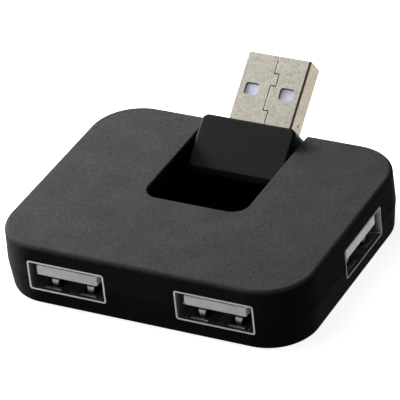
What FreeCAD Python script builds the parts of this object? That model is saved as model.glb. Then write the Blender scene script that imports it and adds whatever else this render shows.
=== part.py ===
# Four-port USB hub with a folding plug, millimetres.
# Casing frame: X across the two side ports, +Y towards the open end of the
# plug slot, +Z up, base on Z = 0.  The whole model is moved along Y at the end
# so that the origin is the bottom centre of the box around it.
import FreeCAD, Part
import Sketcher
import math
import os

V = FreeCAD.Vector
Turn = FreeCAD.Rotation

doc = FreeCAD.newDocument("usb_hub")

# ------------------------------------------------------------------ sizes
SIZES = [
    ("hub_width", 55.7, "casing across the side ports"),
    ("hub_depth", 45.4, "casing from front wall to slot end"),
    ("hub_height", 11.4, "casing height"),
    ("corner_radius", 8.6, "plan corner radius"),
    ("split_height", 5.45, "height of the seam between the shells"),
    ("seam_gap", 0.1, "visible gap of that seam"),
    ("draft_top", 1.8, "wall draft above the seam, degrees"),
    ("draft_bottom", 6.0, "wall draft below the seam, degrees"),
    ("round_top", 0.8, "top edge rounding"),
    ("round_bottom", 0.8, "bottom edge rounding"),
    ("wall", 1.5, "casing side wall"),
    ("roof", 1.5, "top shell roof"),
    ("floor_thick", 1.3, "bottom shell floor"),
    ("lip_height", 0.8, "locating lip height"),
    ("lip_thick", 0.6, "locating lip thickness"),
    ("slot_half", 9.25, "half width of the plug slot"),
    ("slot_front", -2.85, "front wall of the plug slot"),
    ("slot_corner", 2.8, "plan radius of the slot's inner corners"),
    ("slot_wall", 1.2, "wall around the slot"),
    ("slot_rim", 0.3, "rounding of the slot rim"),
    ("slot_floor", 0.65, "thin floor under the plug slot"),
    ("port_offset", 13.38, "front port centre from the middle"),
    ("port_height", 5.84, "port centre above the base"),
    ("side_port_back", 3.25, "side port centre behind the middle"),
    ("mouth_width", 14.1, "port shell width over its flare"),
    ("mouth_height", 5.5, "port shell height"),
    ("tube_width", 13.1, "port shell width behind the flare"),
    ("port_wall", 0.3, "port shell sheet"),
    ("port_length", 14.0, "port shell length"),
    ("flare_length", 1.2, "length of the flare"),
    ("port_recess", 0.1, "port mouth behind the widest casing line"),
    ("port_gap", 0.08, "gap between port shell and casing opening"),
    ("tongue_width", 11.1, "port tongue width"),
    ("tongue_thick", 1.84, "port tongue thickness"),
    ("board_thick", 1.0, "circuit board thickness"),
    ("pivot_back", 17.4, "pivot behind the middle"),
    ("pivot_height", 6.3, "pivot above the base"),
    ("pivot_outer", 1.7, "hollow pivot pin radius"),
    ("pivot_inner", 1.0, "hollow pivot pin bore radius"),
    ("pivot_play", 0.05, "radial running clearance"),
    ("pivot_end", 13.0, "pin end from the middle"),
    ("boss_half", 2.6, "half depth of the pivot boss"),
    ("arm_width", 17.5, "arm across the slot"),
    ("arm_back", -3.75, "arm end behind the pivot"),
    ("arm_tip", 6.6, "arm end at the plug"),
    ("arm_thick", 9.6, "arm thickness"),
    ("arm_corner", 1.2, "arm face corner radius"),
    ("arm_edge", 0.5, "arm face edge rounding"),
    ("arm_swing", 5.55, "radius that the pivot end stays inside"),
    ("cover_thick", 0.95, "arm cover plate"),
    ("cover_seam", 0.07, "gap under the cover plate"),
    ("plug_width", 12.0, "plug shell width"),
    ("plug_height", 4.5, "plug shell height"),
    ("plug_wall", 0.3, "plug shell sheet"),
    ("plug_edge", 0.45, "plug shell edge rounding"),
    ("plug_start", 2.0, "plug shell start from the pivot"),
    ("plug_tip", 19.9, "plug tip from the pivot"),
    ("plug_drop", -1.4, "plug middle from the arm middle"),
    ("window_offset", 3.25, "plug window centre from the middle"),
    ("window_width", 2.5, "plug window width"),
    ("window_near", 5.45, "plug window from the tip, near edge"),
    ("window_far", 7.55, "plug window from the tip, far edge"),
    ("contact_inner", 1.0, "inner contact centre"),
    ("contact_outer", 3.5, "outer contact centre"),
    ("contact_width", 1.0, "contact width"),
    ("wire_radius", 0.28, "lead radius"),
    ("wire_pitch", 0.36, "lead offset in the pin bore"),
    ("plug_angle", 38.8, "stored angle of the plug above straight out, degrees"),
    ("origin_shift", 6.2480, "casing middle to the middle of the whole box"),
]

sheet = doc.addObject("Spreadsheet::Sheet", "dims")
for row, (name, value, words) in enumerate(SIZES, 1):
    sheet.set("A%d" % row, name)
    sheet.set("B%d" % row, "%g" % value)
    sheet.set("C%d" % row, words)
    sheet.setAlias("B%d" % row, name)
doc.recompute()


class Size:
    """A length that knows both its number and its sheet expression."""

    def __init__(self, text, value):
        self.text, self.value = text, float(value)

    def _with(self, other, sign, swap=False):
        o = lift(other)
        a, b = (o, self) if swap else (self, o)
        number = {"+": a.value + b.value, "-": a.value - b.value, "*": a.value * b.value,
                  "/": a.value / b.value if b.value else 0.0}[sign]
        return Size("(%s %s %s)" % (a.text, sign, b.text), number)

    def __add__(self, o): return self._with(o, "+")
    def __radd__(self, o): return self._with(o, "+", True)
    def __sub__(self, o): return self._with(o, "-")
    def __rsub__(self, o): return self._with(o, "-", True)
    def __mul__(self, o): return self._with(o, "*")
    def __rmul__(self, o): return self._with(o, "*", True)
    def __truediv__(self, o): return self._with(o, "/")
    def __neg__(self): return Size("(0 - %s)" % self.text, -self.value)


def lift(v):
    return v if isinstance(v, Size) else Size("(%.6g)" % v if v < 0 else "%.6g" % v, v)


class Sizes:
    pass


d = Sizes()
for name, value, words in SIZES:
    setattr(d, name, Size("dims." + name, value))

hx = d.hub_width / 2
hy = d.hub_depth / 2
seam_low = d.split_height - d.seam_gap / 2
seam_high = d.split_height + d.seam_gap / 2
board_top = d.port_height - d.mouth_height / 2
board_low = board_top - d.board_thick


def bind(obj, prop, size):
    size = lift(size)
    try:
        setattr(obj, prop, size.value)
    except Exception:
        pass
    obj.setExpression(prop, size.text)


# ------------------------------------------------------------------ helpers
def new_body(name):
    return doc.addObject("PartDesign::Body", name)


def plane_of(body, role):
    return [f for f in body.Origin.OriginFeatures if f.Role == role][0]


def new_sketch(body, name, role, offset=0):
    sk = body.newObject("Sketcher::SketchObject", name)
    sk.AttachmentSupport = [(plane_of(body, role), "")]
    sk.MapMode = "FlatFace"
    off = lift(offset)
    sk.AttachmentOffset = FreeCAD.Placement(V(0, 0, off.value), Turn())
    sk.setExpression("AttachmentOffset.Base.z", off.text)
    return sk


def pin_coordinate(sk, kind, geo, pos, size):
    size = lift(size)
    if size.value < 0:
        n = sk.addConstraint(Sketcher.Constraint(kind, geo, pos, -1, 1, -size.value))
        sk.setExpression("Constraints[%d]" % n, (-size).text)
    else:
        n = sk.addConstraint(Sketcher.Constraint(kind, -1, 1, geo, pos, size.value))
        sk.setExpression("Constraints[%d]" % n, size.text)


def polygon(sk, points):
    pts = [(lift(x), lift(y)) for x, y in points]
    first = sk.GeometryCount
    n = len(pts)
    for i in range(n):
        a, b = pts[i], pts[(i + 1) % n]
        sk.addGeometry(Part.LineSegment(V(a[0].value, a[1].value, 0), V(b[0].value, b[1].value, 0)), False)
    for i in range(n):
        sk.addConstraint(Sketcher.Constraint("Coincident", first + i, 2, first + (i + 1) % n, 1))
    for i in range(n):
        pin_coordinate(sk, "DistanceX", first + i, 1, pts[i][0])
        pin_coordinate(sk, "DistanceY", first + i, 1, pts[i][1])


def rectangle(sk, x0, x1, y0, y1):
    polygon(sk, [(x0, y0), (x1, y0), (x1, y1), (x0, y1)])


def circle(sk, x, y, radius):
    x, y, radius = lift(x), lift(y), lift(radius)
    g = sk.addGeometry(Part.Circle(V(x.value, y.value, 0), V(0, 0, 1), radius.value), False)
    pin_coordinate(sk, "DistanceX", g, 3, x)
    pin_coordinate(sk, "DistanceY", g, 3, y)
    n = sk.addConstraint(Sketcher.Constraint("Radius", g, radius.value))
    sk.setExpression("Constraints[%d]" % n, radius.text)


def rounded(sk, x0, x1, y0, y1, radius):
    x0, x1, y0, y1, r = [lift(v) for v in (x0, x1, y0, y1, radius)]
    X0, X1, Y0, Y1, q = x0.value, x1.value, y0.value, y1.value, r.value
    first = sk.GeometryCount
    up = V(0, 0, 1)
    lines = [((X0 + q, Y0), (X1 - q, Y0)), ((X1, Y0 + q), (X1, Y1 - q)),
             ((X1 - q, Y1), (X0 + q, Y1)), ((X0, Y1 - q), (X0, Y0 + q))]
    centres = [(X1 - q, Y0 + q, -90), (X1 - q, Y1 - q, 0), (X0 + q, Y1 - q, 90), (X0 + q, Y0 + q, 180)]
    for (a, b), (cx, cy, start) in zip(lines, centres):
        sk.addGeometry(Part.LineSegment(V(a[0], a[1], 0), V(b[0], b[1], 0)), False)
        sk.addGeometry(Part.ArcOfCircle(Part.Circle(V(cx, cy, 0), up, q),
                                        math.radians(start), math.radians(start + 90)), False)
    for k in range(4):
        line, arc, following = first + 2 * k, first + 2 * k + 1, first + (2 * k + 2) % 8
        sk.addConstraint(Sketcher.Constraint("Tangent", line, 2, arc, 1))
        sk.addConstraint(Sketcher.Constraint("Tangent", arc, 2, following, 1))
    for k, kind in enumerate(("Horizontal", "Vertical", "Horizontal", "Vertical")):
        sk.addConstraint(Sketcher.Constraint(kind, first + 2 * k))
    for k in (3, 5, 7):
        sk.addConstraint(Sketcher.Constraint("Equal", first + 1, first + k))
    n = sk.addConstraint(Sketcher.Constraint("Radius", first + 1, q))
    sk.setExpression("Constraints[%d]" % n, r.text)
    pin_coordinate(sk, "DistanceY", first, 1, y0)
    pin_coordinate(sk, "DistanceX", first + 2, 1, x1)
    pin_coordinate(sk, "DistanceY", first + 4, 1, y1)
    pin_coordinate(sk, "DistanceX", first + 6, 1, x0)


def pad(body, name, sk, length, back=False, middle=False, taper=None):
    f = body.newObject("PartDesign::Pad", name)
    f.Profile = sk
    bind(f, "Length", length)
    f.Reversed = back
    if middle:
        f.Midplane = True
    if taper is not None:
        bind(f, "TaperAngle", taper)
    doc.recompute()
    return f


def pocket(body, name, sk, length, back=False, middle=False):
    before = body.Shape.Volume
    f = body.newObject("PartDesign::Pocket", name)
    f.Profile = sk
    bind(f, "Length", length)
    f.Reversed = back
    if middle:
        f.Midplane = True
    doc.recompute()
    if not body.Shape.Volume < before - 1e-6:
        raise RuntimeError("%s in %s removed nothing" % (name, body.Name))
    return f


def fillet(body, name, radius, wanted):
    doc.recompute()
    base = body.Tip
    edges = ["Edge%d" % (i + 1) for i, e in enumerate(base.Shape.Edges) if wanted(e)]
    if not edges:
        raise RuntimeError("%s in %s found no edge" % (name, body.Name))
    f = body.newObject("PartDesign::Fillet", name)
    f.Base = (base, edges)
    bind(f, "Radius", radius)
    doc.recompute()
    return f


def box(name, x0, x1, y0, y1, z0, z1):
    b = doc.addObject("Part::Box", name)
    x0, x1, y0, y1, z0, z1 = [lift(v) for v in (x0, x1, y0, y1, z0, z1)]
    bind(b, "Length", x1 - x0)
    bind(b, "Width", y1 - y0)
    bind(b, "Height", z1 - z0)
    b.Placement = FreeCAD.Placement(V(x0.value, y0.value, z0.value), Turn())
    for axis, size in zip("xyz", (x0, y0, z0)):
        b.setExpression("Placement.Base." + axis, size.text)
    return b


AXES = {"x": Turn(V(0, 1, 0), 90), "y": Turn(V(1, 0, 0), -90), "z": Turn()}


def rod(name, axis, radius, length, x, y, z):
    c = doc.addObject("Part::Cylinder", name)
    bind(c, "Radius", radius)
    bind(c, "Height", length)
    x, y, z = lift(x), lift(y), lift(z)
    c.Placement = FreeCAD.Placement(V(x.value, y.value, z.value), AXES[axis])
    for a, size in zip("xyz", (x, y, z)):
        c.setExpression("Placement.Base." + a, size.text)
    return c


def ball(name, radius, x, y, z):
    s = doc.addObject("Part::Sphere", name)
    bind(s, "Radius", radius)
    x, y, z = lift(x), lift(y), lift(z)
    s.Placement = FreeCAD.Placement(V(x.value, y.value, z.value), Turn())
    for a, size in zip("xyz", (x, y, z)):
        s.setExpression("Placement.Base." + a, size.text)
    return s


def fused(name, pieces):
    f = doc.addObject("Part::MultiFuse", name)
    f.Shapes = pieces
    return f


def minus(name, base, tool):
    c = doc.addObject("Part::Cut", name)
    c.Base = base
    c.Tool = tool
    return c


def group(name, pieces):
    g = doc.addObject("Part::Compound", name)
    g.Links = pieces
    return g


def level(e, z, tol=0.02):
    b = e.BoundBox
    return abs(b.ZMin - z) < tol and abs(b.ZMax - z) < tol


nodes = []


def node(obj, label, placement):
    obj.Label = label
    obj.Placement = placement
    nodes.append(obj)


home = FreeCAD.Placement(V(0, -d.origin_shift.value, 0), Turn())
CONTACTS = (-d.contact_outer, -d.contact_inner, d.contact_inner, d.contact_outer)

# ------------------------------------------------------------------ casing
cavity_x = hx - d.wall
cavity_y = hy - d.wall
cavity_r = d.corner_radius - d.wall
surround_x = d.slot_half + d.slot_wall
surround_y = d.slot_front - d.slot_wall
boss_x = d.pivot_end + 0.6


def port_openings(body, low, depth):
    half_w = d.mouth_width / 2 + d.port_gap
    z0 = d.port_height - d.mouth_height / 2 - d.port_gap
    z1 = d.port_height + d.mouth_height / 2 + d.port_gap
    sk = new_sketch(body, low + "FrontPortSketch", "XZ_Plane", hy + 1)
    for side in (-1, 1):
        x = d.port_offset * side
        rounded(sk, x - half_w, x + half_w, z0, z1, 0.35)
    pocket(body, low + "FrontPorts", sk, depth)
    sk = new_sketch(body, low + "RightPortSketch", "YZ_Plane", hx + 1)
    rounded(sk, d.side_port_back - half_w, d.side_port_back + half_w, z0, z1, 0.35)
    pocket(body, low + "RightPort", sk, depth)
    sk = new_sketch(body, low + "LeftPortSketch", "YZ_Plane", -(hx + 1))
    rounded(sk, d.side_port_back - half_w, d.side_port_back + half_w, z0, z1, 0.35)
    pocket(body, low + "LeftPort", sk, depth, back=True)


def pivot_bores(body, low):
    sk = new_sketch(body, low + "BoreSketch", "YZ_Plane")
    circle(sk, d.pivot_back, d.pivot_height, d.pivot_outer + d.pivot_play)
    pocket(body, low + "Bore", sk, d.pivot_end * 2 + 0.1, middle=True)
    sk = new_sketch(body, low + "LeadSketch", "YZ_Plane")
    circle(sk, d.pivot_back, d.pivot_height, d.pivot_inner + 0.05)
    pocket(body, low + "LeadHole", sk, boss_x * 2 + 1, middle=True)


# top shell
top = new_body("TopShell")
sk = new_sketch(top, "TopOuterSketch", "XY_Plane", seam_high)
rounded(sk, -hx, hx, -hy, hy, d.corner_radius)
top_height = d.hub_height - seam_high
pad(top, "TopOuter", sk, top_height, taper=-d.draft_top)
fillet(top, "TopRound", d.round_top, lambda e: level(e, d.hub_height.value))
sk = new_sketch(top, "TopCavitySketch", "XY_Plane", seam_high)
rounded(sk, -cavity_x, cavity_x, -cavity_y, cavity_y, cavity_r)
pocket(top, "TopCavity", sk, top_height - d.roof, back=True)
sk = new_sketch(top, "TopSurroundSketch", "XY_Plane", seam_high)
rounded(sk, -surround_x, surround_x, surround_y, hy - 0.9, d.slot_corner + d.slot_wall)
pad(top, "TopSurround", sk, top_height - d.roof + 0.05)
sk = new_sketch(top, "TopBossSketch", "XY_Plane", seam_high)
for side in (-1, 1):
    a, b = (surround_x - 0.3) * side, boss_x * side
    rectangle(sk, a if side > 0 else b, b if side > 0 else a,
              d.pivot_back - d.boss_half, d.pivot_back + d.boss_half)
pad(top, "TopBoss", sk, top_height - d.roof + 0.05)
sk = new_sketch(top, "TopSlotSketch", "XY_Plane", seam_high)
rounded(sk, -d.slot_half, d.slot_half, d.slot_front, hy + 12, d.slot_corner)
pocket(top, "TopSlot", sk, top_height + 1, back=True)
fillet(top, "TopSlotRim", d.slot_rim,
       lambda e: level(e, d.hub_height.value) and abs(e.BoundBox.Center.x) < 10.2
       and e.BoundBox.YMax < hy.value - 1.0 and e.BoundBox.XMax < 9.6 and e.BoundBox.XMin > -9.6)
port_openings(top, "Top", 4.5)
pivot_bores(top, "Top")
node(top, "top_shell", home)

# bottom shell
low = new_body("BottomShell")
sk = new_sketch(low, "LowOuterSketch", "XY_Plane", seam_low)
rounded(sk, -hx, hx, -hy, hy, d.corner_radius)
pad(low, "LowOuter", sk, seam_low, back=True, taper=-d.draft_bottom)
fillet(low, "LowRound", d.round_bottom, lambda e: level(e, 0))
sk = new_sketch(low, "LowCavitySketch", "XY_Plane", seam_low)
rounded(sk, -cavity_x, cavity_x, -cavity_y, cavity_y, cavity_r)
pocket(low, "LowCavity", sk, seam_low - d.floor_thick)
sk = new_sketch(low, "LipSketch", "XY_Plane", seam_low)
rounded(sk, -(cavity_x + 0.3), cavity_x + 0.3, -(cavity_y + 0.3), cavity_y + 0.3, cavity_r + 0.3)
rounded(sk, -(cavity_x - d.lip_thick), cavity_x - d.lip_thick, -(cavity_y - d.lip_thick),
        cavity_y - d.lip_thick, cavity_r - d.lip_thick)
pad(low, "LipRoot", sk, d.floor_thick, back=True)
sk = new_sketch(low, "LipTopSketch", "XY_Plane", seam_low)
rounded(sk, -(cavity_x - 0.03), cavity_x - 0.03, -(cavity_y - 0.03), cavity_y - 0.03, cavity_r - 0.03)
rounded(sk, -(cavity_x - d.lip_thick), cavity_x - d.lip_thick, -(cavity_y - d.lip_thick),
        cavity_y - d.lip_thick, cavity_r - d.lip_thick)
pad(low, "Lip", sk, d.lip_height)
sk = new_sketch(low, "LipGapSketch", "XY_Plane", seam_low)
rectangle(sk, -(boss_x + 0.1), boss_x + 0.1, cavity_y - 2, hy + 1)
pocket(low, "LipGap", sk, d.lip_height + 0.5, back=True)
sk = new_sketch(low, "LowSurroundSketch", "XY_Plane", seam_low)
rounded(sk, -surround_x, surround_x, surround_y, hy - 0.9, d.slot_corner + d.slot_wall)
pad(low, "LowSurround", sk, seam_low - d.floor_thick + 0.05, back=True)
sk = new_sketch(low, "LowBossSketch", "XY_Plane", seam_low)
for side in (-1, 1):
    a, b = (surround_x - 0.3) * side, boss_x * side
    rectangle(sk, a if side > 0 else b, b if side > 0 else a,
              d.pivot_back - d.boss_half, d.pivot_back + d.boss_half)
pad(low, "LowBoss", sk, seam_low - d.floor_thick + 0.05, back=True)
sk = new_sketch(low, "PostSketch", "XY_Plane", board_low)
POSTS = [(-21.5, -17.6), (21.5, -17.6), (0, -18.9), (-24.0, 12.6), (24.0, 12.6)]
for x, y in POSTS:
    circle(sk, x, y, 1.5)
pad(low, "Posts", sk, board_low - d.floor_thick + 0.05, back=True)
sk = new_sketch(low, "PegSketch", "XY_Plane", board_low)
for x, y in POSTS[2:]:
    circle(sk, x, y, 0.75)
pad(low, "Pegs", sk, d.board_thick + 0.8)
sk = new_sketch(low, "LowSlotSketch", "XY_Plane", seam_low)
rounded(sk, -d.slot_half, d.slot_half, d.slot_front, hy + 12, d.slot_corner)
pocket(low, "LowSlot", sk, seam_low - d.slot_floor)
port_openings(low, "Low", 4.5)
pivot_bores(low, "Low")
node(low, "bottom_shell", home)

# ------------------------------------------------------------------ ports
inner_w = d.tube_width - d.port_wall * 2
inner_h = d.mouth_height - d.port_wall * 2
tongue_low = 0.05
tail_y0 = d.port_length - 0.4
tail_y1 = d.port_length - 0.15
leg_low = -(d.mouth_height / 2 + d.board_thick + 0.4)


def make_port(tag, label, place):
    s = new_body(tag + "Shell")
    sk = new_sketch(s, tag + "TubeSketch", "XZ_Plane")
    rounded(sk, -d.tube_width / 2, d.tube_width / 2, -d.mouth_height / 2, d.mouth_height / 2, 0.5)
    pad(s, tag + "Tube", sk, d.port_length, back=True)
    wide = new_sketch(s, tag + "FlareOuterA", "XZ_Plane")
    rounded(wide, -d.mouth_width / 2, d.mouth_width / 2, -d.mouth_height / 2, d.mouth_height / 2, 0.5)
    slim = new_sketch(s, tag + "FlareOuterB", "XZ_Plane", -d.flare_length)
    rounded(slim, -d.tube_width / 2, d.tube_width / 2, -d.mouth_height / 2, d.mouth_height / 2, 0.5)
    loft = s.newObject("PartDesign::AdditiveLoft", tag + "Flare")
    loft.Profile = wide
    loft.Sections = [slim]
    loft.Ruled = True
    doc.recompute()
    sk = new_sketch(s, tag + "LegSketch", "XY_Plane", -d.mouth_height / 2 + 0.6)
    for side in (-1, 1):
        a, b = (d.tube_width / 2 - d.port_wall) * side, d.tube_width / 2 * side
        rectangle(sk, a if side > 0 else b, b if side > 0 else a, 5, 7)
    pad(s, tag + "Legs", sk, d.board_thick + 1.0, back=True)
    sk = new_sketch(s, tag + "BoreSketch", "XZ_Plane", 1)
    rounded(sk, -inner_w / 2, inner_w / 2, -inner_h / 2, inner_h / 2, 0.25)
    pocket(s, tag + "Bore", sk, d.port_length + 2)
    wide = new_sketch(s, tag + "FlareInnerA", "XZ_Plane", 0.01)
    rounded(wide, -(d.mouth_width / 2 - d.port_wall), d.mouth_width / 2 - d.port_wall,
            -inner_h / 2, inner_h / 2, 0.25)
    slim = new_sketch(s, tag + "FlareInnerB", "XZ_Plane", -d.flare_length)
    rounded(slim, -inner_w / 2, inner_w / 2, -inner_h / 2, inner_h / 2, 0.25)
    loft = s.newObject("PartDesign::SubtractiveLoft", tag + "FlareBore")
    loft.Profile = wide
    loft.Sections = [slim]
    loft.Ruled = True
    doc.recompute()
    # spring tongues: a U-shaped cut round each, through the lower and upper sheet
    sk = new_sketch(s, tag + "SpringSketch", "XY_Plane")
    for x in (-3.1, 3.1):
        polygon(sk, [(x - 1.25, 1.9), (x - 1.0, 1.9), (x - 1.0, 7.6), (x + 1.0, 7.6), (x + 1.0, 1.9),
                     (x + 1.25, 1.9), (x + 1.25, 7.95), (x - 1.25, 7.95)])
    pocket(s, tag + "Springs", sk, d.mouth_height + 2, middle=True)
    sk = new_sketch(s, tag + "TailSketch", "XY_Plane")
    rectangle(sk, -5, 5, d.port_length - 0.7, d.port_length + 1)
    pocket(s, tag + "TailGap", sk, d.mouth_height)
    node(s, label + "_shell", place)

    i = new_body(tag + "Insulator")
    sk = new_sketch(i, tag + "TongueSketch", "XZ_Plane", -0.45)
    rounded(sk, -d.tongue_width / 2, d.tongue_width / 2, tongue_low, d.tongue_thick + tongue_low, 0.35)
    pad(i, tag + "Tongue", sk, 9.05, back=True)
    sk = new_sketch(i, tag + "BlockSketch", "XZ_Plane", -9.2)
    rounded(sk, -(inner_w / 2 - 0.02), inner_w / 2 - 0.02, -(inner_h / 2 - 0.02), inner_h / 2 - 0.02, 0.3)
    pad(i, tag + "Block", sk, tail_y0 - 9.2, back=True)
    sk = new_sketch(i, tag + "ChannelSketch", "XZ_Plane", -9.0)
    for x in CONTACTS:
        rectangle(sk, x - d.contact_width / 2, x + d.contact_width / 2, tongue_low - 0.25, tongue_low)
    pocket(i, tag + "Channels", sk, 6)
    node(i, label + "_insulator", place)

    strips = []
    for k, x in enumerate(CONTACTS):
        strip = box("%sStrip%d" % (tag, k), x - d.contact_width / 2, x + d.contact_width / 2,
                    1.9, tail_y0, tongue_low - 0.25, tongue_low)
        tail = box("%sTail%d" % (tag, k), x - 0.25, x + 0.25, tail_y0, tail_y1, leg_low, tongue_low)
        strips.append(fused("%sContact%d" % (tag, k), [strip, tail]))
    node(group(tag + "Contacts", strips), label + "_contacts", place)


def port_place(x, y, angle):
    spot = FreeCAD.Placement(V(x.value, y.value, d.port_height.value), Turn(V(0, 0, 1), angle))
    return home.multiply(spot)


mouth_y = hy - d.port_recess
mouth_x = hx - d.port_recess
PORTS = [
    ("FrontLeft", "port_front_left", -d.port_offset, -mouth_y, 0),
    ("FrontRight", "port_front_right", d.port_offset, -mouth_y, 0),
    ("Right", "port_right", mouth_x, d.side_port_back, 90),
    ("Left", "port_left", -mouth_x, d.side_port_back, -90),
]
for tag, label, x, y, angle in PORTS:
    make_port(tag, label, port_place(x, y, angle))

# ------------------------------------------------------------------ circuit board
board = new_body("Board")
sk = new_sketch(board, "BoardSketch", "XY_Plane", board_low)
edge = cavity_x - d.lip_thick - 0.25
front = -(cavity_y - d.lip_thick - 0.25)
notch_x = surround_x + 0.3
notch_y = surround_y - 0.4
board_back = d.pivot_back - d.boss_half - 0.3
polygon(sk, [(-edge, front + 6), (-edge + 6, front), (edge - 6, front), (edge, front + 6), (edge, board_back),
             (notch_x, board_back), (notch_x, notch_y), (-notch_x, notch_y), (-notch_x, board_back), (-edge, board_back)])
pad(board, "BoardPlate", sk, d.board_thick)
sk = new_sketch(board, "BoardHoleSketch", "XY_Plane", board_top)
for tag, label, x, y, angle in PORTS:
    for c in CONTACTS:
        along = (tail_y0 + tail_y1) / 2
        if angle == 0:
            circle(sk, x + c, y + along, 0.4)
        elif angle > 0:
            circle(sk, x - along, y + c, 0.4)
        else:
            circle(sk, x + along, y - c, 0.4)
    for side in (-1, 1):
        off = (d.tube_width / 2 - d.port_wall / 2) * side
        if angle == 0:
            rectangle(sk, x + off - 0.3, x + off + 0.3, y + 4.8, y + 7.2)
        elif angle > 0:
            rectangle(sk, x - 7.2, x - 4.8, y + off - 0.3, y + off + 0.3)
        else:
            rectangle(sk, x + 4.8, x + 7.2, y + off - 0.3, y + off + 0.3)
for x, y in POSTS[2:]:
    circle(sk, x, y, 0.85)
pocket(board, "BoardHoles", sk, d.board_thick + 0.5)
node(board, "main_pcb", home)


def on_board(name, x, y, width, depth, height):
    return box(name, x - width / 2, x + width / 2, y - depth / 2, y + depth / 2, board_top, board_top + height)


chip_y = -12.6
chip = [box("ChipBody", -2.65, 2.65, chip_y - 5.1, chip_y + 5.1, board_top + 0.1, board_top + 1.75)]
for k in range(14):
    y = chip_y + (k - 6.5) * 0.65
    chip.append(box("ChipLegL%d" % k, -3.9, -2.65, y - 0.13, y + 0.13, board_top, board_top + 0.35))
    chip.append(box("ChipLegR%d" % k, 2.65, 3.9, y - 0.13, y + 0.13, board_top, board_top + 0.35))
node(group("Chip", chip), "hub_controller_chip", home)

crystal = new_body("Crystal")
sk = new_sketch(crystal, "CrystalSketch", "XY_Plane", board_top)
rounded(sk, 8.2, 18.6, -8.15, -4.75, 1.6)
pad(crystal, "CrystalCan", sk, 3.4)
node(crystal, "crystal_oscillator", home)

node(group("FuseOnBoard", [on_board("Fuse", lift(-13.2), lift(-6.4), 4.5, 3.2, 1.0)]), "resettable_fuse", home)
BULK = [(-20.2, -6.5), (13.2, 12.9), (18.2, 12.9), (-19.9, 12.9)]
node(group("Bulk", [on_board("Bulk%d" % k, lift(x), lift(y), 3.5, 2.8, 1.9) for k, (x, y) in enumerate(BULK)]),
     "bulk_capacitors", home)
CAPS = [(5.2, -18.9), (5.2, -6.4), (-5.2, -6.4), (2.4, -5.6), (-2.4, -5.6), (22.6, -6.4)]
node(group("Caps", [on_board("Cap%d" % k, lift(x), lift(y), 1.6, 0.8, 0.8) for k, (x, y) in enumerate(CAPS)]),
     "chip_capacitors", home)
RES = [(-5.2, -18.9), (5.2, -16.0), (5.2, -13.4), (-5.2, -16.0), (-5.2, -13.4), (5.2, -9.4), (-5.2, -9.4), (23.0, -8.0)]
node(group("Resistors", [on_board("Res%d" % k, lift(x), lift(y), 1.6, 0.8, 0.45) for k, (x, y) in enumerate(RES)]),
     "chip_resistors", home)

# leads from the board to the hollow pivot pin
leads = []
rw = d.wire_radius
start_x = -(d.pivot_end + 0.25)
for k, (sy, sz) in enumerate(((-1, 1), (1, 1), (-1, -1), (1, -1))):
    y = d.pivot_back + d.wire_pitch * sy
    z = d.pivot_height + d.wire_pitch * sz
    x = lift(-14.4 - 0.75 * k)
    end_y = lift(13.4)
    leads.append(fused("HubLead%d" % k, [
        rod("HubLeadA%d" % k, "x", rw, start_x - x, x, y, z),
        ball("HubLeadB%d" % k, rw, x, y, z),
        rod("HubLeadC%d" % k, "y", rw, y - end_y, x, end_y, z),
        ball("HubLeadD%d" % k, rw, x, end_y, z),
        rod("HubLeadE%d" % k, "z", rw, z - board_top, x, end_y, board_top),
    ]))
node(group("HubLeads", leads), "hub_wires", home)

# ------------------------------------------------------------------ plug arm
# Arm frame: origin on the pivot axis, +Y towards the plug tip, +Z out of the cover.
arm_place = FreeCAD.Placement(V(0, d.pivot_back.value - d.origin_shift.value, d.pivot_height.value),
                              Turn(V(1, 0, 0), d.plug_angle.value))
ah = d.arm_thick / 2
aw = d.arm_width / 2
cover_low = ah - d.cover_thick
drop = d.plug_drop

# what the pivot end must stay clear of when it swings past the table
swing = minus("SwingCutter",
              box("SwingBlock", -12, 12, d.arm_back - 3, -0.5, -(ah + 3), ah + 3),
              rod("SwingRod", "x", d.arm_swing, 30, -15, 0, 0))

arm = new_body("ArmBlock")
sk = new_sketch(arm, "ArmSketch", "XY_Plane", -ah)
rounded(sk, -aw, aw, d.arm_back, d.arm_tip, d.arm_corner)
pad(arm, "ArmPad", sk, ah + cover_low - d.cover_seam)
fillet(arm, "ArmRound", 0.9, lambda e: level(e, -ah.value))
sk = new_sketch(arm, "ArmCavitySketch", "XY_Plane", cover_low)
rounded(sk, -6.6, 6.6, -2.3, 4.9, 0.4)
pocket(arm, "ArmCavity", sk, cover_low + 3.7)
sk = new_sketch(arm, "ArmPlugSketch", "XZ_Plane", -4.0)
rounded(sk, -(d.plug_width / 2 + 0.02), d.plug_width / 2 + 0.02, drop - d.plug_height / 2 - 0.02,
        drop + d.plug_height / 2 + 0.02, d.plug_edge)
pocket(arm, "ArmPlugHole", sk, 6)
sk = new_sketch(arm, "ArmPinSketch", "YZ_Plane")
circle(sk, 0, 0, d.pivot_outer)
pocket(arm, "ArmPinHole", sk, d.arm_width + 2, middle=True)
node(minus("ArmHousing", arm, swing), "arm_housing", arm_place)

cover = new_body("CoverPlate")
sk = new_sketch(cover, "CoverSketch", "XY_Plane", cover_low)
rounded(sk, -aw, aw, d.arm_back, d.arm_tip, d.arm_corner)
pad(cover, "CoverPad", sk, d.cover_thick)
fillet(cover, "CoverRound", d.arm_edge, lambda e: level(e, ah.value))
sk = new_sketch(cover, "CoverSpigotSketch", "XY_Plane", cover_low)
rounded(sk, -6.5, 6.5, -2.2, 4.8, 0.35)
pad(cover, "CoverSpigot", sk, 0.6, back=True)
swing_two = minus("SwingCutterTwo",
                  box("SwingBlockTwo", -12, 12, d.arm_back - 3, -0.5, -(ah + 3), ah + 3),
                  rod("SwingRodTwo", "x", d.arm_swing, 30, -15, 0, 0))
node(minus("ArmCover", cover, swing_two), "arm_cover", arm_place)

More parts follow.
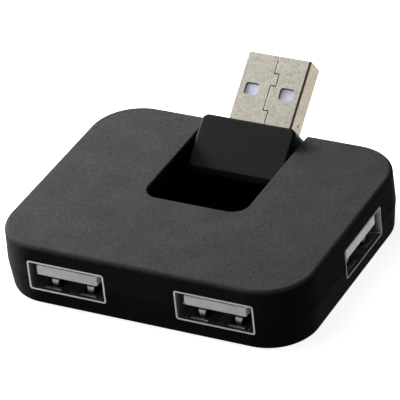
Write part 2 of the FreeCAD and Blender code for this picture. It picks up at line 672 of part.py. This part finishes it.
shell = new_body("PlugTube")
sk = new_sketch(shell, "PlugOuterSketch", "XZ_Plane", -d.plug_start)
rounded(sk, -d.plug_width / 2, d.plug_width / 2, drop - d.plug_height / 2, drop + d.plug_height / 2, d.plug_edge)
pad(shell, "PlugOuter", sk, d.plug_tip - d.plug_start, back=True)
sk = new_sketch(shell, "PlugInnerSketch", "XZ_Plane", -(d.plug_start - 1))
rounded(sk, -(d.plug_width / 2 - d.plug_wall), d.plug_width / 2 - d.plug_wall,
        drop - d.plug_height / 2 + d.plug_wall, drop + d.plug_height / 2 - d.plug_wall, d.plug_edge - 0.2)
pocket(shell, "PlugInner", sk, d.plug_tip + 2)
sk = new_sketch(shell, "WindowSketch", "XY_Plane")
for side in (-1, 1):
    x = d.window_offset * side
    rounded(sk, x - d.window_width / 2, x + d.window_width / 2, d.plug_tip - d.window_far,
            d.plug_tip - d.window_near, 0.42)
pocket(shell, "Windows", sk, 12, middle=True)
# the folded sheet meets in an interlocking seam on the cover side
sk = new_sketch(shell, "SeamSketch", "XY_Plane", drop)
g = 0.065
t0, t1, t2, t3 = [d.plug_tip - v for v in (3.15, 5.4, 9.9, 12.6)]
far = d.plug_tip + 0.5
near = d.plug_start + 1.2
polygon(sk, [(-g, far), (-g, t0 - g), (0.95 - g, t0 - g), (0.95 - g, t1 + g), (-g, t1 + g), (-g, t2 - g),
             (0.95 - g, t2 - g), (0.95 - g, near), (0.95 + g, near), (0.95 + g, t2 + g), (g, t2 + g),
             (g, t1 - g), (0.95 + g, t1 - g), (0.95 + g, t0 + g), (g, t0 + g), (g, far)])
pocket(shell, "Seam", sk, 4, back=True)
node(shell, "plug_shell", arm_place)

core = new_body("PlugCore")
sk = new_sketch(core, "PlugCoreSketch", "XZ_Plane", -(d.plug_start + 0.2))
rounded(sk, -(d.plug_width / 2 - d.plug_wall - 0.03), d.plug_width / 2 - d.plug_wall - 0.03,
        drop + 0.02, drop + d.plug_height / 2 - d.plug_wall - 0.02, 0.2)
pad(core, "PlugCorePad", sk, d.plug_tip - d.plug_start - 1.0, back=True)
node(core, "plug_insulator", arm_place)

strips = []
for k, x in enumerate(CONTACTS):
    strips.append(box("PlugContact%d" % k, x - d.contact_width / 2, x + d.contact_width / 2,
                      0.95, d.plug_tip - 1.6, drop - 0.22, drop))
node(group("PlugContacts", strips), "plug_contacts", arm_place)

leads = []
lap = drop - 0.23 - rw
for k, (x, sy, sz) in enumerate(((CONTACTS[0], 1, -1), (CONTACTS[1], 1, 1), (CONTACTS[2], -1, -1), (CONTACTS[3], -1, 1))):
    y = d.wire_pitch * sy
    z = d.wire_pitch * sz
    far_x = -(d.pivot_end - 0.05)
    leads.append(fused("ArmLead%d" % k, [
        rod("ArmLeadA%d" % k, "y", rw, 2.4 - y, x, y, lap),
        ball("ArmLeadB%d" % k, rw, x, y, lap),
        rod("ArmLeadC%d" % k, "z", rw, z - lap, x, y, lap),
        ball("ArmLeadD%d" % k, rw, x, y, z),
        rod("ArmLeadE%d" % k, "x", rw, x - far_x, far_x, y, z),
    ]))
node(group("ArmLeads", leads), "plug_wires", arm_place)

for tag, label, x in (("PinRight", "hinge_pin_right", lift(6.6)), ("PinLeft", "hinge_pin_left", -d.pivot_end)):
    pin = minus(tag, rod(tag + "Rod", "x", d.pivot_outer, d.pivot_end - 6.6, x, 0, 0),
                rod(tag + "Hole", "x", d.pivot_inner, d.pivot_end - 5.6, x - 0.5, 0, 0))
    node(pin, label, arm_place)

# ------------------------------------------------------------------ write
doc.recompute()
for obj in doc.Objects:
    if "Invalid" in obj.State or "Error" in obj.State:
        raise RuntimeError("%s is %s" % (obj.Name, obj.State))
os.makedirs("parts", exist_ok=True)
for obj in nodes:
    if obj.Shape.isNull() or not obj.Shape.isValid():
        raise RuntimeError("%s has no valid shape" % obj.Label)
    obj.Shape.exportStep("parts/%s.step" % obj.Label)
    b = obj.Shape.BoundBox
    print("%-26s solids %2d  vol %9.2f  x %.2f..%.2f  y %.2f..%.2f  z %.2f..%.2f" % (
        obj.Label, len(obj.Shape.Solids), obj.Shape.Volume, b.XMin, b.XMax, b.YMin, b.YMax, b.ZMin, b.ZMax))
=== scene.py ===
import math

import bmesh
import bpy
from mathutils import Matrix, Vector


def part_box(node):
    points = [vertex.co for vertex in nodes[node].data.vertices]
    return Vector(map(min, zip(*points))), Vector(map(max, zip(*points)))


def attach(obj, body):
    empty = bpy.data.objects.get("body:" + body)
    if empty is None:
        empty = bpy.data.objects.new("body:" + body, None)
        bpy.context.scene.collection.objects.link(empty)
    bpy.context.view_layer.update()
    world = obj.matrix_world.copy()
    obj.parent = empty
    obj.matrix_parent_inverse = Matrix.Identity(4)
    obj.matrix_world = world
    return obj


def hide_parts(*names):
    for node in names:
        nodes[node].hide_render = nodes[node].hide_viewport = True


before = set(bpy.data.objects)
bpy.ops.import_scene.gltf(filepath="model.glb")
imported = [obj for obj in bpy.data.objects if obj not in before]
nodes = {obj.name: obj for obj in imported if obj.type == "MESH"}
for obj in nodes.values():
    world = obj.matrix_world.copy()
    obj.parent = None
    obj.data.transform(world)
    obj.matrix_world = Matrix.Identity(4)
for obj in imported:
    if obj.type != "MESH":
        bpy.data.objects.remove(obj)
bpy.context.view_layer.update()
scene = bpy.context.scene

MM = 0.001
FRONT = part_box("top_shell")[0].y          # casing front wall in the row frame
HALF_X, HALF_Y, HIGH = 27.85, 22.7, 11.4  # casing half width, half depth, height
PORT_X, PORT_BACK, PORT_Z = 13.38, 3.25, 5.84
PIVOT_Y, PIVOT_Z, FOLD = 17.4, 6.3, 38.8
SHIFT = FRONT / MM + HALF_Y               # casing y -> row y, millimetres


# ------------------------------------------------------------------ materials
class Graph:
    """Small helper around one node tree."""

    def __init__(self, name):
        self.mat = bpy.data.materials.new(name)
        self.mat.use_nodes = True
        self.tree = self.mat.node_tree
        self.tree.nodes.clear()
        self.out = self.tree.nodes.new("ShaderNodeOutputMaterial")
        self.bsdf = self.tree.nodes.new("ShaderNodeBsdfPrincipled")
        self.link(self.bsdf.outputs[0], self.out.inputs["Surface"])
        coords = self.tree.nodes.new("ShaderNodeTexCoord")
        self.at = coords.outputs["Object"]

    def link(self, a, b):
        self.tree.links.new(a, b)

    def set(self, **values):
        for key, value in values.items():
            socket = self.bsdf.inputs[key.replace("_", " ")]
            socket.default_value = value

    def mapping(self, scale=(1, 1, 1), turn=(0, 0, 0), shift=(0, 0, 0)):
        n = self.tree.nodes.new("ShaderNodeMapping")
        n.inputs["Scale"].default_value = scale
        n.inputs["Rotation"].default_value = turn
        n.inputs["Location"].default_value = shift
        self.link(self.at, n.inputs["Vector"])
        return n.outputs[0]

    def noise(self, scale, detail=2.0, rough=0.5, vector=None, distortion=0.0):
        n = self.tree.nodes.new("ShaderNodeTexNoise")
        n.inputs["Scale"].default_value = scale
        n.inputs["Detail"].default_value = detail
        n.inputs["Roughness"].default_value = rough
        n.inputs["Distortion"].default_value = distortion
        self.link(vector or self.at, n.inputs["Vector"])
        return n.outputs[0]

    def cells(self, scale, vector=None):
        n = self.tree.nodes.new("ShaderNodeTexVoronoi")
        n.inputs["Scale"].default_value = scale
        self.link(vector or self.at, n.inputs["Vector"])
        return n.outputs["Distance"]

    def ramp(self, factor, stops):
        n = self.tree.nodes.new("ShaderNodeValToRGB")
        el = n.color_ramp.elements
        while len(el) < len(stops):
            el.new(0.5)
        for e, (p, c) in zip(el, stops):
            e.position = p
            e.color = (c, c, c, 1) if isinstance(c, (int, float)) else (*c, 1)
        self.link(factor, n.inputs[0])
        return n.outputs[0]

    def spread(self, factor, low, high, a=0.0, b=1.0):
        n = self.tree.nodes.new("ShaderNodeMapRange")
        n.inputs["From Min"].default_value = a
        n.inputs["From Max"].default_value = b
        n.inputs["To Min"].default_value = low
        n.inputs["To Max"].default_value = high
        self.link(factor, n.inputs["Value"])
        return n.outputs[0]

    def math(self, op, a, b):
        n = self.tree.nodes.new("ShaderNodeMath")
        n.operation = op
        for k, v in enumerate((a, b)):
            if isinstance(v, (int, float)):
                n.inputs[k].default_value = v
            else:
                self.link(v, n.inputs[k])
        return n.outputs[0]

    def height(self):
        n = self.tree.nodes.new("ShaderNodeSeparateXYZ")
        self.link(self.at, n.inputs[0])
        return n.outputs["Z"]

    def tinted(self, a, b):
        n = self.tree.nodes.new("ShaderNodeMix")
        n.data_type = "RGBA"
        n.blend_type = "MULTIPLY"
        n.inputs["Factor"].default_value = 1.0
        self.link(a, n.inputs["A"] if n.inputs["A"].type == "RGBA" else n.inputs[6])
        self.link(b, n.inputs["B"] if n.inputs["B"].type == "RGBA" else n.inputs[7])
        return n.outputs[2]

    def bump(self, height, strength, distance, base=None):
        n = self.tree.nodes.new("ShaderNodeBump")
        n.inputs["Strength"].default_value = strength
        n.inputs["Distance"].default_value = distance
        self.link(height, n.inputs["Height"])
        if base is not None:
            self.link(base, n.inputs["Normal"])
        return n.outputs[0]

    def wire(self, **sockets):
        for key, value in sockets.items():
            self.link(value, self.bsdf.inputs[key.replace("_", " ")])


def soft_plastic(name, tone, grain, rough, specular=0.16, depth_shade=None):
    """Matte soft-touch moulding: very fine pebble grain with slow colour drift."""
    g = Graph(name)
    g.set(Metallic=0.0, IOR=1.5, Specular_IOR_Level=specular)
    fine = g.noise(grain, 3.0, 0.62)
    pebble = g.cells(grain * 0.55)
    slow = g.noise(160.0, 2.0, 0.5)
    mixed = g.math("ADD", g.math("MULTIPLY", fine, 0.8), g.math("MULTIPLY", slow, 0.2))
    dark = tuple(c * 0.62 for c in tone)
    light = tuple(c * 1.5 for c in tone)
    colour = g.ramp(mixed, [(0.33, dark), (0.5, tone), (0.67, light)])
    # painted shade: when a height range is given, the colour darkens towards its bottom, standing in for the shade
    # deep in a recess
    if depth_shade is not None:
        z = g.spread(g.height(), 0.0, 1.0, depth_shade[0] * MM, depth_shade[1] * MM)
        colour = g.tinted(colour, g.ramp(z, [(0.0, 0.03), (0.55, 0.12), (1.0, 1.0)]))
    g.wire(Base_Color=colour, Roughness=g.spread(fine, rough - 0.1, rough + 0.1, 0.3, 0.7))
    relief = g.bump(pebble, 0.12, 0.00006)
    g.wire(Normal=g.bump(fine, 0.28, 0.00005, relief))
    return g.mat


def plated_steel(name, tone, rough, spots=0.35):
    """Satin nickel plating: mottled patches, fine rolling lines, tiny dark spots."""
    g = Graph(name)
    g.set(Metallic=1.0)
    patches = g.noise(900.0, 3.0, 0.6)
    lines = g.noise(260.0, 3.0, 0.6, g.mapping((14.0, 1.0, 1.0)))
    speck = g.noise(2700.0, 3.0, 0.65)
    mixed = g.math("ADD", g.math("MULTIPLY", patches, 0.26),
                   g.math("ADD", g.math("MULTIPLY", lines, 0.1), g.math("MULTIPLY", speck, 0.64)))
    dark = tuple(c * (1 - spots) for c in tone)
    light = tuple(min(1.0, c * 1.15) for c in tone)
    g.wire(Base_Color=g.ramp(mixed, [(0.34, dark), (0.5, tone), (0.66, light)]),
           Roughness=g.spread(mixed, rough + 0.12, rough - 0.06, 0.35, 0.65))
    g.wire(Normal=g.bump(mixed, 0.18, 0.00006))
    return g.mat


def light_plastic(name, tone, rough=0.42):
    """Moulded connector plastic with faint flow marks."""
    g = Graph(name)
    g.set(Metallic=0.0, IOR=1.52, Subsurface_Weight=0.12, Subsurface_Scale=0.0006)
    flow = g.noise(240.0, 3.0, 0.55, g.mapping((1.0, 3.5, 1.0)))
    fine = g.noise(5200.0, 2.0, 0.5)
    dark = tuple(c * 0.84 for c in tone)
    light = tuple(min(1.0, c * 1.06) for c in tone)
    g.wire(Base_Color=g.ramp(flow, [(0.3, dark), (0.5, tone), (0.7, light)]),
           Roughness=g.spread(fine, rough - 0.08, rough + 0.1, 0.3, 0.7))
    g.wire(Normal=g.bump(fine, 0.12, 0.00003))
    return g.mat


def painted(name, tone, rough, grain, metal=0.0, spread=0.25):
    """Board-level parts: a tone with grain in colour, roughness and relief."""
    g = Graph(name)
    g.set(Metallic=metal)
    a = g.noise(grain, 3.0, 0.55)
    b = g.noise(grain * 6, 2.0, 0.5)
    dark = tuple(c * (1 - spread) for c in tone)
    light = tuple(min(1.0, c * (1 + spread)) for c in tone)
    g.wire(Base_Color=g.ramp(a, [(0.3, dark), (0.5, tone), (0.7, light)]),
           Roughness=g.spread(b, rough - 0.07, rough + 0.09, 0.3, 0.7))
    g.wire(Normal=g.bump(b, 0.15, 0.00003))
    return g.mat


casing_black = soft_plastic("casing_soft_black", (0.0515, 0.0515, 0.0515), 4600.0, 0.62, 0.006)
# painted shade: the slot's walls and floor take a darker tone that fades to near black towards the bottom, standing
# in for the shade inside the slot
slot_painted_shade = soft_plastic("slot_black_painted_shade", (0.034, 0.034, 0.034), 5200.0, 0.6, 0.03, depth_shade=(5.5, 11.4))
arm_black = soft_plastic("arm_soft_black", (0.0098, 0.0098, 0.01), 3600.0, 0.5, 0.08)
port_steel = plated_steel("port_bright_nickel", (0.235, 0.233, 0.226), 0.34, 0.2)
# painted shade: the side sockets' nickel is a darker copy of the front sockets' nickel, for the darker reflections
# they catch
port_side_painted_shade = plated_steel("port_side_nickel_painted_shade", (0.115, 0.114, 0.111), 0.36, 0.3)
# painted shade: the shell's inner faces take a darker copy of the same nickel, for the shade inside the socket
port_inside_painted_shade = plated_steel("port_inner_nickel_painted_shade", (0.15, 0.15, 0.147), 0.38, 0.4)
# painted highlight: a lighter copy of the socket nickel for the creases and lines, standing in for the light they
# catch
port_crease_painted_highlight = plated_steel("port_crease_nickel_painted_highlight", (0.30, 0.30, 0.295), 0.38, 0.3)
port_dark = plated_steel("port_cutout_shadow", (0.02, 0.02, 0.02), 0.5, 0.4)
spring_steel = plated_steel("port_spring_nickel", (0.19, 0.19, 0.187), 0.42, 0.25)
plug_steel = plated_steel("plug_satin_nickel", (0.278, 0.262, 0.228), 0.36, 0.3)
# painted reflection: the sheath sides take a brighter, warmer copy of the same nickel, standing in for the bright
# floor they reflect
plug_side_painted_reflection = plated_steel("plug_side_nickel_painted_reflection", (0.31, 0.27, 0.208), 0.36, 0.3)
plug_cut = plated_steel("plug_seam_shade", (0.07, 0.045, 0.025), 0.5, 0.3)
port_plastic = light_plastic("port_tongue_plastic", (0.30, 0.302, 0.305))
plug_plastic = light_plastic("plug_tongue_plastic", (0.60, 0.62, 0.76))
gold = painted("contact_gold_plate", (0.83, 0.60, 0.26), 0.26, 900.0, 1.0, 0.12)
board_green = painted("board_solder_mask", (0.012, 0.075, 0.03), 0.38, 700.0)
chip_black = painted("chip_epoxy", (0.012, 0.012, 0.013), 0.55, 1500.0)
crystal_can = painted("crystal_can_nickel", (0.62, 0.61, 0.58), 0.3, 700.0, 1.0, 0.12)
fuse_green = painted("fuse_body_green", (0.03, 0.16, 0.07), 0.5, 1100.0)
cap_tan = painted("capacitor_ceramic", (0.36, 0.23, 0.12), 0.5, 1300.0)
wire_skin = painted("wire_jacket", (0.30, 0.03, 0.025), 0.45, 900.0)
pin_metal = painted("pin_bright_steel", (0.30, 0.30, 0.29), 0.3, 800.0, 1.0, 0.15)


FINISH = {"top_shell": casing_black, "bottom_shell": casing_black, "arm_housing": arm_black, "arm_cover": arm_black,
          "plug_shell": plug_steel, "plug_insulator": plug_plastic, "plug_contacts": gold, "plug_wires": wire_skin,
          "hub_wires": wire_skin, "main_pcb": board_green, "hub_controller_chip": chip_black,
          "crystal_oscillator": crystal_can, "resettable_fuse": fuse_green, "bulk_capacitors": cap_tan,
          "chip_capacitors": cap_tan, "chip_resistors": chip_black, "hinge_pin_left": pin_metal,
          "hinge_pin_right": pin_metal}


def dress(obj, *materials):
    obj.data.materials.clear()
    for m in materials:
        obj.data.materials.append(m)
    obj.data.polygons.foreach_set("material_index", [0] * len(obj.data.polygons))


for name, obj in nodes.items():
    if name in FINISH:
        dress(obj, FINISH[name])
    elif name.endswith("_shell"):
        dress(obj, port_steel)
    elif name.endswith("_insulator"):
        dress(obj, port_plastic)
    else:
        dress(obj, gold)


# ------------------------------------------------------------------ mesh helpers
def new_piece(name, bm, materials, body, smooth=32.0):
    """Mesh data from bm becomes a piece that rides on body."""
    bmesh.ops.recalc_face_normals(bm, faces=bm.faces)
    mesh = bpy.data.meshes.new(name)
    bm.to_mesh(mesh)
    bm.free()
    for m in materials:
        mesh.materials.append(m)
    mesh.polygons.foreach_set("use_smooth", [True] * len(mesh.polygons))
    mesh.set_sharp_from_angle(angle=math.radians(smooth))
    obj = bpy.data.objects.new(name, mesh)
    scene.collection.objects.link(obj)
    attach(obj, body)
    return obj


def weigh_normals(obj):
    """Keeps flat faces flat next to narrow bevels."""
    m = obj.modifiers.new("flat_faces", "WEIGHTED_NORMAL")
    m.keep_sharp = True
    m.weight = 80
    dg = bpy.context.evaluated_depsgraph_get()
    dg.update()
    mesh = bpy.data.meshes.new_from_object(obj.evaluated_get(dg), preserve_all_data_layers=True, depsgraph=dg)
    obj.modifiers.clear()
    old = obj.data
    obj.data = mesh
    mesh.name = obj.name
    bpy.data.meshes.remove(old)


def refined(node, name, materials, body, width, sharp=35.0, steps=2, paint=None):
    """The CAD solid's own surface with its hard edges rolled over by a small radius."""
    bm = bmesh.new()
    bm.from_mesh(nodes[node].data)
    for layer in list(bm.loops.layers.uv.values()):
        bm.loops.layers.uv.remove(layer)
    bmesh.ops.remove_doubles(bm, verts=bm.verts, dist=1e-7)
    bmesh.ops.dissolve_limit(bm, angle_limit=math.radians(0.6), verts=bm.verts, edges=bm.edges)
    hard = [e for e in bm.edges if len(e.link_faces) == 2 and e.calc_face_angle(0) > math.radians(sharp)]
    bmesh.ops.bevel(bm, geom=hard, offset=width * MM, segments=steps, profile=0.5, affect="EDGES",
                    clamp_overlap=True, loop_slide=True)
    if paint is not None:
        bm.faces.ensure_lookup_table()
        for f in bm.faces:
            f.material_index = paint(f.calc_center_median() / MM - Vector((0, SHIFT, 0)), f.normal)
    obj = new_piece(name, bm, materials, body, 30.0)
    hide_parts(node)
    weigh_normals(obj)
    return obj


def strip(bm, stations, thick, matrix, index=0):
    """A leaf of sheet metal through (along, height, half width) stations, with rolled long edges."""
    rings = []
    n = len(stations)
    for i, (y, z, w) in enumerate(stations):
        a, b = stations[max(0, i - 1)], stations[min(n - 1, i + 1)]
        t = Vector((0, b[0] - a[0], b[1] - a[1])).normalized()
        up = Vector((0, -t.z, t.y)) * (thick / 2)
        e = min(0.06, w * 0.4)
        ring = []
        for sx, su in ((-w, 0.45), (-w + e, 1), (w - e, 1), (w, 0.45), (w, -0.45), (w - e, -1), (-w + e, -1), (-w, -0.45)):
            ring.append(bm.verts.new(matrix @ ((Vector((sx, y, z)) + up * su) * MM)))
        rings.append(ring)
    faces = []
    for p, q in zip(rings, rings[1:]):
        for k in range(8):
            faces.append(bm.faces.new((p[k], p[(k + 1) % 8], q[(k + 1) % 8], q[k])))
    faces.append(bm.faces.new(rings[0]))
    faces.append(bm.faces.new(list(reversed(rings[-1]))))
    for f in faces:
        f.material_index = index


def bar(bm, low, high, roll, matrix, index=0, steps=2):
    """A block with all edges rolled over."""
    made = bmesh.ops.create_cube(bm, size=1.0)
    vs = made["verts"]
    low, high = Vector(low), Vector(high)
    for v in vs:
        v.co = Vector((low[k] + (v.co[k] + 0.5) * (high[k] - low[k]) for k in range(3)))
    es = list({e for v in vs for e in v.link_edges})
    out = bmesh.ops.bevel(bm, geom=es, offset=roll, segments=steps, profile=0.5, affect="EDGES", clamp_overlap=True)
    fs = {f for v in vs if v.is_valid for f in v.link_faces} | set(out["faces"])
    vs = {v for f in fs for v in f.verts}
    grow = True
    while grow:
        more = {v for w in vs for e in w.link_edges for v in e.verts} - vs
        vs |= more
        grow = bool(more)
    for f in {f for v in vs for f in v.link_faces}:
        f.material_index = index
    for v in vs:
        v.co = matrix @ (v.co * MM)


def at_port(x, y, angle):
    return Matrix.Translation(Vector((x, y + SHIFT, PORT_Z)) * MM) @ Matrix.Rotation(math.radians(angle), 4, "Z")


def in_slot(c):
    return abs(c.x) < 9.4 and c.y > -2.95


# ------------------------------------------------------------------ casing
# painted shade: faces inside the slot take the darkened slot material
def top_paint(c, n):
    return 1 if in_slot(c) and c.z < HIGH - 0.25 else 0


def low_paint(c, n):
    return 1 if in_slot(c) and c.z > 0.3 else 0


refined("top_shell", "casing_top", (casing_black, slot_painted_shade), "hub_body", 0.10, paint=top_paint)
refined("bottom_shell", "casing_bottom", (casing_black, slot_painted_shade), "hub_body", 0.10, paint=low_paint)

# ------------------------------------------------------------------ sockets
PORTS = [("front_left", -PORT_X, -HALF_Y + 0.1, 0.0), ("front_right", PORT_X, -HALF_Y + 0.1, 0.0),
         ("right", HALF_X - 0.1, PORT_BACK, 90.0), ("left", -HALF_X + 0.1, PORT_BACK, -90.0)]
lit = bpy.data.collections.new("lit_from_the_front")
scene.collection.children.link(lit)
side_lit = bpy.data.collections.new("lit_from_the_sides")
scene.collection.children.link(side_lit)
for tag, px, py, angle in PORTS:
    m = at_port(px, py, angle)
    back = m.inverted()

    # painted shade: faces behind the mouth get the darker inner material
    def lip_or_shaded_inside(c, n, back=back):
        p = back @ ((c + Vector((0, SHIFT, 0))) * MM) / MM
        return 1 if p.y > 0.12 and abs(p.x) < 6.95 and abs(p.z) < 2.6 else 0

    # painted shade: side sockets use the darker copy of the nickel for their lip
    shell = refined("port_%s_shell" % tag, "socket_%s_shell" % tag,
                    (port_steel if angle == 0.0 else port_side_painted_shade, port_inside_painted_shade), "hub_body",
                    0.07, paint=lip_or_shaded_inside)
    (lit if angle == 0.0 else side_lit).objects.link(shell)
    tongue = refined("port_%s_insulator" % tag, "socket_%s_tongue" % tag, (port_plastic,), "hub_body",
                     0.42, steps=1)
    (lit if angle == 0.0 else side_lit).objects.link(tongue)
    # bent springs; dark plates in painted shadow where their cut-outs are; creases and floor lines in a lighter tone
    # as painted highlight
    bm = bmesh.new()
    base = -2.45
    for x in (-3.1, 3.4):
        off = m @ Matrix.Translation(Vector((x, 0, base)) * MM)
        strip(bm, [(1.78, 0.10, 0.30), (1.72, 0.22, 0.46), (1.70, 0.45, 0.54), (1.72, 0.80, 0.60), (1.82, 1.10, 0.66),
                   (2.10, 1.32, 0.70), (2.60, 1.42, 0.74), (3.60, 1.36, 0.80), (5.20, 0.95, 0.88), (6.80, 0.35, 0.95),
                   (7.70, 0.04, 1.0)], 0.24, off, 0)
        bar(bm, (-1.55, 0.62, -0.02), (1.50, 0.84, 0.17), 0.07, off, 0)
        bar(bm, (-1.50, 1.05, -0.02), (1.42, 1.22, 0.07), 0.03, off, 1)
        bar(bm, (-1.28, 1.35, -0.05), (1.28, 7.9, 0.035), 0.02, off, 2)
    for x, w in ((-5.55, 0.16), (-4.9, 0.1), (0.15, 0.12), (0.75, 0.1), (5.6, 0.14)):
        off = m @ Matrix.Translation(Vector((x, 0, base)) * MM)
        bar(bm, (-w / 2, 0.5, -0.04), (w / 2, 8.8, 0.05), 0.03, off, 1)
    for side in (-1, 1):
        off = m @ Matrix.Translation(Vector((side * 6.24, 0, 0)) * MM)
        bar(bm, (-0.06, 1.5, -0.9), (0.06, 7.6, -0.2), 0.04, off, 1)
        bar(bm, (-0.05, 1.6, 0.55), (0.05, 3.0, 1.75), 0.04, off, 2)
    springs = new_piece("socket_%s_springs" % tag, bm, (spring_steel, port_crease_painted_highlight, port_dark), "hub_body")
    (lit if angle == 0.0 else side_lit).objects.link(springs)

# ------------------------------------------------------------------ folding arm and plug
arm_at = (Matrix.Translation(Vector((0, PIVOT_Y + SHIFT, PIVOT_Z)) * MM)
          @ Matrix.Rotation(math.radians(FOLD), 4, "X"))
refined("arm_housing", "arm_body", (arm_black,), "plug_arm", 0.12)
refined("arm_cover", "arm_lid", (arm_black,), "plug_arm", 0.07)
from_row = arm_at.inverted()


# painted reflection and painted shade: side faces take the brighter side nickel, the walls of the top seam the dark
# seam shade
def sheath_paint(c, n):
    p = from_row @ ((c + Vector((0, SHIFT, 0))) * MM) / MM
    m = from_row.to_3x3() @ n
    if abs(m.x) > 0.6 and abs(p.x) > 5.7:
        return 1
    if -0.4 < p.x < 1.3 and p.z > 0 and abs(m.z) < 0.5 and p.y < 19.85:
        return 2
    return 0


refined("plug_shell", "plug_sheath", (plug_steel, plug_side_painted_reflection, plug_cut), "plug_arm", 0.11,
        paint=sheath_paint)
# a pressed dot low on each side of the sheath
bm = bmesh.new()
for side in (-1, 1):
    bar(bm, (side * 5.97 - 0.12, 8.72, -2.08), (side * 5.97 + 0.12, 9.28, -1.52), 0.1, arm_at, 0)
new_piece("plug_dots", bm, (plug_side_painted_reflection,), "plug_arm")
refined("plug_insulator", "plug_tongue", (plug_plastic,), "plug_arm", 0.1)

# ------------------------------------------------------------------ floor, light, camera
floor_mesh = bpy.data.meshes.new("floor")
b = bmesh.new()
bmesh.ops.create_grid(b, x_segments=24, y_segments=24, size=3.0)
b.to_mesh(floor_mesh)
b.free()
floor = bpy.data.objects.new("floor", floor_mesh)
scene.collection.objects.link(floor)
floor.location = (0, 0, -0.00002)
g = Graph("pale_floor")
g.set(Metallic=0.0, Specular_IOR_Level=0.05, Emission_Color=(1.0, 1.0, 1.0, 1.0), Emission_Strength=0.9)
tint = g.noise(3.0, 2.0, 0.5)
g.wire(Base_Color=g.ramp(tint, [(0.3, 0.58), (0.7, 0.62)]), Roughness=g.spread(tint, 0.8, 0.9))
floor.data.materials.append(g.mat)

world = bpy.data.worlds.new("studio")
world.use_nodes = True
scene.world = world
world.node_tree.nodes["Background"].inputs[0].default_value = (1, 1, 1, 1)
world.node_tree.nodes["Background"].inputs[1].default_value = 0.025
floor.visible_diffuse = False


def softbox(name, where, target, size_x, size_y, power, tint=(1, 1, 1)):
    data = bpy.data.lights.new(name, "AREA")
    data.shape = "RECTANGLE"
    data.size = size_x
    data.size_y = size_y
    data.energy = power
    data.color = tint
    lamp = bpy.data.objects.new(name, data)
    scene.collection.objects.link(lamp)
    lamp.location = where
    lamp.rotation_euler = (Vector(target) - Vector(where)).to_track_quat("-Z", "Y").to_euler()
    return lamp


softbox("left_softbox", (-0.20, 0.055, 0.10), (0, 0, 0), 0.20, 0.11, 1.5)
softbox("top_softbox", (-0.26, -0.06, 0.60), (-0.22, -0.03, 0), 0.46, 0.46, 1.85)
softbox("right_fill", (0.45, 0.30, 0.16), (0, 0, 0), 0.3, 0.2, 0.05, (1.0, 0.94, 0.84))
front_fill = softbox("front_fill", (0.10, -0.45, 0.14), (0, 0, 0), 0.5, 0.25, 2.2)
front_fill.light_linking.receiver_collection = lit
side_fill = softbox("side_fill", (0.42, -0.16, 0.16), (0, 0, 0), 0.3, 0.2, 2.2)
side_fill.light_linking.receiver_collection = side_lit

r = Vector((0.8905881112, 0.4451292635, -0.0933421392))
u = Vector((-0.1719113584, 0.5194697370, 0.8370171308))
f = Vector((-0.4210692355, 0.7293909316, -0.5391563483))
camera = bpy.data.objects.new("camera", bpy.data.cameras.new("camera"))
scene.collection.objects.link(camera)
camera.data.sensor_width = 36.0
camera.data.lens = 301.07194
camera.data.clip_start = 0.05
camera.data.clip_end = 20.0
place = Matrix((
    (r.x, u.x, -f.x, 0.23107403),
    (r.y, u.y, -f.y, -0.40015170 + SHIFT * MM),
    (r.z, u.z, -f.z, 0.30619834),
    (0, 0, 0, 1)))
camera.matrix_world = place
scene.camera = camera
scene.view_settings.view_transform = "Standard"
scene.view_settings.look = "None"
